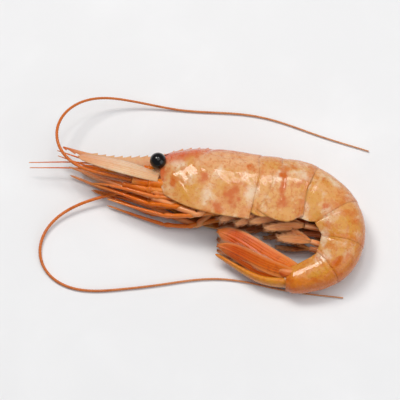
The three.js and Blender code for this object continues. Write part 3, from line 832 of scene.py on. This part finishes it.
for number in range(len(RINGS)):
    piece(f"ring_{number + 1}", [ring(number)], SHELL)


# %% [markdown]
# ## The flesh inside
# Between the flaps the belly shows: pale soft flesh with a ridge across it at each ring and at each pair of
# legs. It is one closed loft, a little slimmer than the shell, and it also keeps the plates from looking
# hollow at their edges.

# %% Flesh
FIRST_LEG_ALONG = 9.0
LEG_SPACING = 5.3


def flesh():
    """An oval for each place along the body, flattened below, with a wave for each ring and each leg pair."""
    rows, columns = 260, 64
    along = np.linspace(3, TAIL + 1.5, rows)[:, None]
    angle = circle(columns)
    depth, width = half_depth(along) - 1.1, half_width(along) - 1.0
    taper = 1 - 0.25 * smooth((along - TAIL + 6) / 7)
    beat = np.interp(along, JOINTS, np.arange(len(JOINTS)))
    leg_beat = (along - FIRST_LEG_ALONG) / LEG_SPACING
    ring_ridge = 0.45 * np.cos(2 * np.pi * beat) * smooth((along - 38) / 6)
    leg_ridge = 0.5 * np.cos(2 * np.pi * leg_beat) * smooth((38 - along) / 4)
    below = -(0.78 * depth + ring_ridge + leg_ridge)
    cosine, sine = np.cos(angle), np.sin(angle)
    back = np.where(cosine > 0, depth * cosine, below * np.abs(cosine) ** 0.55) * taper
    left = width * sine * np.where(cosine > 0, 1, 1 - 0.18 * cosine**2) * taper
    points = place(along, back, left)
    record = record_of(rows, columns, along / BODY_SPAN, np.abs(angle / np.pi - 1))
    return loft(points, record)


piece("flesh", [flesh()], FLESH)

# %% [markdown]
# ## The beak
# The beak is a thin blade that rises out of the shield's crest, sags between the eyes and lifts at its tip,
# with saw teeth above and below. Its outline is two curves with a saw-tooth wave added, and its section is a
# lens, thick in the middle and sharp at both edges.

# %% Beak
BEAK_LENGTH = 43.0
BEAK_ROOT = 22.0
BEAK_HEIGHT = 4.8
BEAK_START, BEAK_SAG, BEAK_TIP = 5.8, 3.2, 5.2


def beak():
    """Middle line, height and saw teeth as functions of x; across the height the thickness is a lens."""
    rows, around = 420, 20
    x = np.linspace(-BEAK_LENGTH, BEAK_ROOT, rows)[:, None]
    out = np.clip(-x / BEAK_LENGTH, 0, 1)
    free = BEAK_START + (BEAK_TIP - BEAK_START) * out**2 - BEAK_SAG * np.sin(np.pi * out)
    crest = half_depth(x) + 0.9 * (1 - x / BEAK_ROOT)
    middle = np.where(x > 0, free + (crest - BEAK_HEIGHT / 2 - free) * smooth(x / 5), free)
    tall = BEAK_HEIGHT * np.where(x > 0, 1.0, (1 - out) ** 0.7) + 0.3
    above = 0.95 * (((x - BEAK_ROOT) / 3.55) % 1.0) ** 1.6 * smooth((x + 0.74 * BEAK_LENGTH) / 3)
    below = 0.8 * (((x + 0.96 * BEAK_LENGTH) / 4.1) % 1.0) ** 1.6 * smooth((-0.28 * BEAK_LENGTH - x) / 3)
    above = above * smooth((BEAK_ROOT - x) / 3)
    angle = circle(around)
    up = np.cos(angle)
    rim = np.abs(up) ** 6
    back = middle + tall / 2 * up + np.where(up > 0, above, -below) * rim
    thick = 0.75 * np.where(x > 0, 1.0, (1 - 0.6 * out)) * (1 + 0.35 * bump(up, 0, 0.3))
    left = thick * np.sign(np.sin(angle)) * np.abs(np.sin(angle)) ** 0.8
    share = 1 - (x + BEAK_LENGTH) / (BEAK_LENGTH + BEAK_ROOT)
    return loft(place(x, back, left), record_of(rows, around, share, np.abs(up)))


piece("beak", [beak()], BEAK)

# %% [markdown]
# ## The eyes
# Each eye is a black ball on a short pale stalk. The ball is a sphere swept as rings along the stalk's own
# direction, and the stalk is a cone that ends in a soft collar round it.

# %% Eyes
EYE_RADIUS = 3.5
EYE_AT = np.array([-1.3, 2.6, 7.6])


def eye_and_stalk(side):
    """A ball as rings of radius times a sine, spaced by a cosine; and a cone that swells to a collar."""
    along, back, left = EYE_AT
    root, centre = place(along + 4, back - 1.5, side * 2.5), place(along, back, side * left)
    axis = unit(centre - root)
    polar = np.linspace(0.02, np.pi - 0.02, 40)
    rings = EYE_RADIUS * np.sin(polar)
    ball = sweep(centre + np.outer(-np.cos(polar) * EYE_RADIUS, axis), rings, rings, np.roll(axis, 1), 48)
    t = np.linspace(0, 1, 30)
    radius = 1.3 + 1.1 * smooth(t * 1.15) + 0.12 * np.sin(t * 14)
    return ball, sweep(root + np.outer(t, centre - root), radius, radius, (1, 0, 0), 24)


eyes, stalks = zip(*map(eye_and_stalk, SIDES))
piece("eyes", eyes, EYE)
piece("eye_stalks", stalks, FLESH)

# %% [markdown]
# ## Limbs
# A shrimp's leg is a row of stiff tubes that narrow where they hinge. One function sweeps a whole limb: the
# radius shrinks towards the tip, swells just before each joint and pinches in at it.

# %% Limb
def limb(knots, radius, end=0.35, flat=0.85, count=110, bow=0.0, paleness_and_sheen=0.0):
    """An elliptic tube through the knots; radius tapers with the square of the way, and pinches at joints."""
    knots = np.asarray(knots, float)
    bones = np.linalg.norm(np.diff(knots, axis=0), axis=1)
    share = np.cumsum(bones) / bones.sum()
    inner = []
    for a, b in zip(knots[:-1], knots[1:]):
        sag = np.array([0, 0, bow * np.linalg.norm(b - a)])
        inner += [a, a + 0.1 * (b - a), (a + b) / 2 + sag, a + 0.9 * (b - a)]
    path = path_through(inner + [knots[-1]], count)
    t = np.linspace(0, 1, count)
    size = radius * (1.15 + (end - 1.15) * t**2)
    for joint in share[:-1]:
        size = size * (1 + 0.25 * bump(t, joint - 0.03, 0.02) - 0.3 * bump(t, joint + 0.002, 0.009))
    size = size * np.sqrt(np.clip((1.001 - t) / 0.03, 0, 1))
    return sweep(path, size, size * flat, UP, 12, paleness_and_sheen)


# %% [markdown]
# ## Jaw legs and walking legs
# The last pair of jaw legs and five pairs of walking legs are folded forwards under the head in a bundle.
# The upper ones have sunk towards the middle, and the lower ones spread on the surface.

# %% Legs
LEGS = [
    {"parts": (13, 11, 13), "slope": (4, -9, -12), "radius": 1.5, "lift": 0, "pale": 0.1},
    {"parts": (15, 9, 11), "slope": (2, -8, -12), "radius": 1.1, "lift": 0, "pale": 0.5},
    {"parts": (20, 20, 8), "slope": (5, -9, -9), "radius": 1.0, "lift": 0, "pale": 0.2},
    # The longest leg's pale value of 0.9 is a painted highlight along it; the other pale values are each
    # leg's own tone.
    {"parts": (9, 21.5, 38), "slope": (48, -15.5, -13.5), "radius": 1.35, "lift": 2, "pale": 0.9},
    {"parts": (23, 10, 27), "slope": (11, -4, -14), "radius": 1.15, "lift": 0, "pale": 0.0},
    {"parts": (22, 10, 26), "slope": (20, 2, -11), "radius": 1.1, "lift": 0, "pale": 0.15},
]
LEG_ROOT = 0.8
UPPER_SPREAD = np.array([4, 5.5, 2.5, -1.5])
LOWER_SPREAD = np.array([-4, -7.2, -8.6, -9.4])


def leg(number, side):
    """Each part runs forwards from the last one's end, at its own slope from the head's axis."""
    shape = LEGS[number]
    x = FIRST_LEG_ALONG + LEG_SPACING * number
    back = -LEG_ROOT * half_depth(x)
    spread = UPPER_SPREAD + shape["lift"] * np.arange(4) / 3 if side > 0 else LOWER_SPREAD
    knots = [place(x, back, spread[0])]
    for length, slope, left in zip(shape["parts"], np.radians(shape["slope"]), spread[1:]):
        x = x - length * np.cos(slope)
        back = back - length * np.sin(slope)
        knots.append(place(x, back, left))
    return limb(knots, shape["radius"], bow=0.02 * (-1) ** number, paleness_and_sheen=shape["pale"])


legs = [leg(number, side) for side in SIDES for number in range(len(LEGS))]
piece("legs", legs, LIMB)

# %% [markdown]
# ## Small feelers, scales and long feelers
# Above the mouth sit the small forked feelers, each with a jointed stem and two whips. Beside each long
# feeler stands a stiff oval scale, pale, with a thick outer edge and a fringe on the inner one. The long
# feelers themselves are ringed whips about 19 cm long.

# %% Small feelers
def whip(path, root, tip, beat):
    """A thin tapering tube whose radius beats slightly, which gives it its fine rings."""
    reach = run_along(path)
    size = (root + (tip - root) * reach / reach[-1]) * (1 + 0.07 * np.cos(2 * np.pi * reach / beat))
    size[-1] = 0.3 * size[-1]
    return sweep(path, size, size, UP, 8)


def small_feeler(side):
    """A stem of three joints, then two whips that part at its end."""
    stem = place([2, -7, -11.5, -15], [1, -0.4, -0.8, -1], side * np.array([2.2, 2.8, 3.1, 3.2]))
    parts = [limb(stem, 1.75, end=0.85, count=70)]
    for reach, rise, spread, radius in ((30, 3.5, -1.5, 0.75), (41, -3.5, -2.5, 0.5)):
        path = place(
            [-14.5, -15 - 0.5 * reach, -15 - reach],
            [-1, -1 + 0.2 * rise, -1 + rise],
            [3.2 * side, 3.4 * side + 0.5 * spread, 3 * side + spread],
        )
        parts.append(whip(path_through(path, 220), radius, 0.2, 0.9))
    return parts


piece("small_feelers", sum(map(small_feeler, SIDES), []), LIMB)


# %% Blades and fringes
HAIR_RADIUS = 0.06
HAIR_ROOT = 0.92


def round_tip(t, span=0.12):
    """1 along the blade, falling as a quarter circle over the last span."""
    return np.sqrt(np.clip(1 - np.clip((t - 1 + span) / span, 0, 1) ** 2, 0.004, 1))


def leaf(t, begin, end=0.955, power=0.6):
    """A leaf's half width: the sine between two shares of a half turn, to a power that fills it out."""
    return np.sin(np.pi * (begin + (end - begin) * t)) ** power


def blade(path, across, inner, outer, thickness, arch, rib, veins=0.0, columns=33):
    """A leaf-shaped plate: from -inner to +outer along across, domed by arch, thin at its edges."""
    count = len(path)
    _, sideways, up = frame_along(path, across)
    w = np.linspace(-1, 1, columns)[None, :]
    reach = np.where(w < 0, inner[:, None], outer[:, None]) * w
    dome = arch * (1 - w**2) * (inner + outer)[:, None] / 2
    ridge = rib * bump(w, 0, 0.09) + veins * np.cos(9 * np.pi * w) * (1 - w**2)
    body = thickness * (0.25 + 0.75 * (1 - np.abs(w) ** 3))
    rise = dome + ridge - body / 2
    points = path[:, None] + reach[..., None] * sideways[:, None] + rise[..., None] * up[:, None]
    return plate(points, body, record_of(count, columns, np.linspace(0, 1, count)[:, None], np.abs(w)))


def fringe(path, across, reach, length, count, begin, lean=0.5):
    """Bristles along one edge of a blade, from begin to its tip, leaning towards the tip."""
    forward, sideways, _ = frame_along(path, across)
    t = np.linspace(begin, 0.995, count)
    known = np.linspace(0, 1, len(path))
    spine, out, ahead, far = (read_at(t, known, rows) for rows in (path, sideways, forward, reach[:, None]))
    root = spine + HAIR_ROOT * far * out
    longer = length * (0.75 + 0.25 * np.sin(37 * t))[:, None]
    return bristles(root, root + longer * (np.sign(far) * out + lean * ahead), HAIR_RADIUS)


# %% Feeler scales
def antennal_scale(side):
    """A leaf-shaped blade with a thick outer edge, and the bristles of its inner edge."""
    path = path_through(place([0, -14, -35], [-4.3, -3.2, -0.8], [6 * side, 8 * side, 7 * side]), 70)
    across = direction(0, -0.85, side * 0.55)
    t = np.linspace(0, 1, 70)
    profile = leaf(t, 0.16) * round_tip(t, 0.06)
    outer, inner = 4.1 * profile, 4.9 * profile
    _, sideways, _ = frame_along(path, across)
    edge = (path + 0.93 * outer[:, None] * sideways)[:66]
    thin = 0.5 * (1 - 0.6 * t[:66])
    parts = [blade(path, across, inner, outer, 0.55, arch=0.12, rib=0.2), sweep(edge, thin, thin, UP, 10)]
    return parts, fringe(path, across, -inner, 1.6, 150, 0.1)


scales, scale_fringes = zip(*map(antennal_scale, SIDES))
piece("antennal_scales", sum(scales, []), SCALE)


# %% Long feelers
FEELER_LENGTH, FEELER_STEPS = 190.0, 60
FEELER_ROOT, FEELER_TIP = 0.75, 0.3
COURSES = {
    1: {"name": "left", "start": 164, "turns": [(-168, 12, 84), (-18, 105, 185)], "sinks": (30, 110)},
    -1: {"name": "right", "start": 190, "turns": [(180, 12, 98), (-20, 104, 160)], "sinks": (0, 60)},
}


def feeler_stem(side):
    """Three places of the stout stem that carries a long feeler."""
    return place([5, -4, -11], [-6.4, -7.2, -7.2], side * np.array([4.6, 5.6, 6]))


def feeler_route(side):
    """Steps of equal length whose compass angle is the start plus each eased turn and a slight wave."""
    course = COURSES[side]
    root = feeler_stem(side)[-1]
    step = FEELER_LENGTH / FEELER_STEPS
    run = np.arange(1, FEELER_STEPS + 1) * step
    angle = course["start"] + 4 * np.sin(run / 9)
    for by, begin, end in course["turns"]:
        angle = angle + by * smooth((run - begin) / (end - begin))
    angle = np.radians(angle)
    flat = np.cumsum(step * np.stack([np.cos(angle), np.sin(angle)], -1), axis=0)
    begin, end = course["sinks"]
    height = root[2] + (FEELER_ROOT + 0.1 - root[2]) * smooth((run - begin) / (end - begin))
    knots = np.column_stack([root[:2] + flat, height])
    return path_through(np.concatenate([root[None], knots]), 700)


for side, course in COURSES.items():
    long_whip = whip(feeler_route(side), FEELER_ROOT, FEELER_TIP, 1.3)
    piece(f"{course['name']}_whip", [long_whip], WHIP, f"{course['name']}_feeler")
stems = [limb(feeler_stem(side), 2.15, end=0.8, flat=0.95, count=60) for side in SIDES]
piece("feeler_stems", stems, LIMB)

# %% [markdown]
# ## Swimmerets
# Under each of the first five rings hangs a pair of paddles: a stout stem and two soft blades with a fringe
# of bristles. The front ones lie folded forwards against the belly, and the hind ones hang down.

# %% Swimmerets
SWIMMERETS = [
    {"stem": 6.5, "blade": 13, "swing": 74},
    {"stem": 7.5, "blade": 16, "swing": 73},
    {"stem": 8, "blade": 18, "swing": 56},
    {"stem": 8, "blade": 17, "swing": 20},
    {"stem": 6, "blade": 14, "swing": -12},
]


def swimmeret(number, side):
    """The stem swings forwards from straight down by an angle, and the blades fan out from its end."""
    shape = SWIMMERETS[number]
    along = JOINTS[number] + 0.45 * RINGS[number]
    belly = -0.72 * half_depth(along)
    down = direction(along, -1, 0)
    forward = np.array([-np.cos(heading(along)), np.sin(heading(along)), 0])

    def out(length, left, extra=0.0):
        """Down times the cosine of the swing, and forwards times its sine."""
        angle = np.radians(shape["swing"] + extra)
        return place(along, belly, left) + length * (np.cos(angle) * down + np.sin(angle) * forward)

    base, knee = place(along, belly, side * 3.4), out(shape["stem"], side * 4.6)
    parts = [sweep(path_through([base, base + 0.55 * (knee - base), knee], 24),
                   np.linspace(1.9, 1.5, 24), np.linspace(1.5, 1.1, 24), UP, 16)]
    for i, fan in enumerate((-8, 6)):
        tip = out(shape["stem"] + shape["blade"], side * (5.6 - 1.6 * i), fan)
        middle = knee + 0.5 * (tip - knee) + np.array([0, 0, side * 0.8])
        path = path_through([knee, middle, tip], 44)
        t = np.linspace(0, 1, 44)
        wide = (0.4 + 1.2 * leaf(t, 0.08, 0.95, 0.8)) * round_tip(t, 0.2)
        across = np.array([0.25 * i, 0.8, side * 0.7])
        parts.append(blade(path, across, wide, wide, 0.5, arch=0.2, columns=31, rib=0.15, veins=0.08))
        parts += [fringe(path, across, edge * wide, 1.4, 110, 0.1, lean=2.2) for edge in SIDES]
    return parts


paddles = sum((swimmeret(number, side) for side in SIDES for number in range(len(SWIMMERETS))), [])
piece("swimmerets", paddles, PADDLE)

# %% [markdown]
# ## The tail fan
# The fan is the middle spike and two blades on each side, half folded like a cupped hand. The blades are
# leaf-shaped plates with a rib down the middle and a soft fringe round the end.

# %% Tail fan
def telson():
    """A wedge that narrows to a blunt point. Its record goes on where that of the last ring ends."""
    path = path_through(place([TAIL - 5, TAIL + 11, TAIL + TELSON], [1.8, 2.1, -1.8], 0), 90)
    t = np.linspace(0, 1, 90)
    tip = round_tip(t, 0.06)
    made = sweep(path, (3.6 + (1.1 - 3.6) * t**1.3) * tip, (2.4 + (0.6 - 2.4) * t) * tip, UP, 28)
    made[3][:, 0] = TAIL - 5 + (TELSON + 5) * made[3][:, 0]
    made[3][:, 1] = 0.8
    return made


INNER_BLADE = {
    "tilt": 42, "length": 37, "back": (-0.6, -4.8), "left": (3, 4, 4, 3.2), "reach": 4.6, "begin": 0.12,
}
OUTER_BLADE = {
    "tilt": 70, "length": 39, "back": (-2.2, -10.3), "left": (3, 5.4, 5.6, 4.8), "reach": 5.4, "begin": 0.17,
}


def tail_blade(side, shape):
    """One blade of the fan: its middle line sinks towards the belly, and its plane is tilted like a roof."""
    tilt = np.radians(shape["tilt"])
    root, sunk = shape["back"]
    along = TAIL - 4 + shape["length"] * np.array([0, 0.4, 0.8, 1])
    back = root + (sunk - root) * np.array([0, 0.4, 0.9, 1])
    path = path_through(place(along, back, side * np.array(shape["left"])), 100)
    across = direction(TAIL + 10, -np.sin(tilt), side * np.cos(tilt))
    t = np.linspace(0, 1, 100)
    wide = shape["reach"] * leaf(t, shape["begin"]) * round_tip(t)
    made = blade(path, across, wide, wide, 0.8, arch=-0.1 * side, columns=61, rib=-0.3 * side, veins=0.07)
    return made, [fringe(path, across, edge * wide, 1.8, 130, 0.3, lean=1.1) for edge in SIDES]


def fan_root(side):
    """The short stout joint that carries both blades of one side."""
    middle = place([TAIL - 4, TAIL, TAIL + 5], [-2.2, -2.4, -2.8], side * np.array([2.6, 3.4, 4.2]))
    path = path_through(middle, 40)
    t = np.linspace(0, 1, 40)
    size = round_tip(t, 0.5)
    return sweep(path, (2.8 - 0.6 * t) * size, (2.5 - 0.5 * t) * size, UP, 24)


piece("telson", [telson()], SHELL)
blades, tail_hairs = zip(*(tail_blade(side, shape) for side in SIDES for shape in (INNER_BLADE, OUTER_BLADE)))
piece("tail_fan", [*blades, *map(fan_root, SIDES)], FAN)
piece("fringes", [*scale_fringes, *sum(tail_hairs, [])], SCALE)

# %% [markdown]
# ## The surface underneath
# A plain pale sheet, large enough to fill the view, with a faint unevenness in its finish.

# %% Sheet
def add_floor():
    """A flat square just below the shrimp, with a faintly mottled matt finish."""
    size = 3.0
    mesh = bpy.data.meshes.new("floor")
    corners = [(-size, -size, 0), (size, -size, 0), (size, size, 0), (-size, size, 0)]
    mesh.from_pydata(corners, [], [(0, 1, 2, 3)])
    material = bpy.data.materials.new("pale sheet")
    material.use_nodes = True
    tree = material.node_tree
    colour = mix(tree, cloud(tree, 40.0, 0.6, 0.5, 1.0), srgb(226, 226, 226), srgb(232, 232, 232))
    sockets = tree.nodes["Principled BSDF"].inputs
    tree.links.new(colour, sockets["Base Color"])
    sockets["Roughness"].default_value = 0.7
    mesh.materials.append(material)
    floor = bpy.data.objects.new("floor", mesh)
    bpy.context.scene.collection.objects.link(floor)


add_floor()
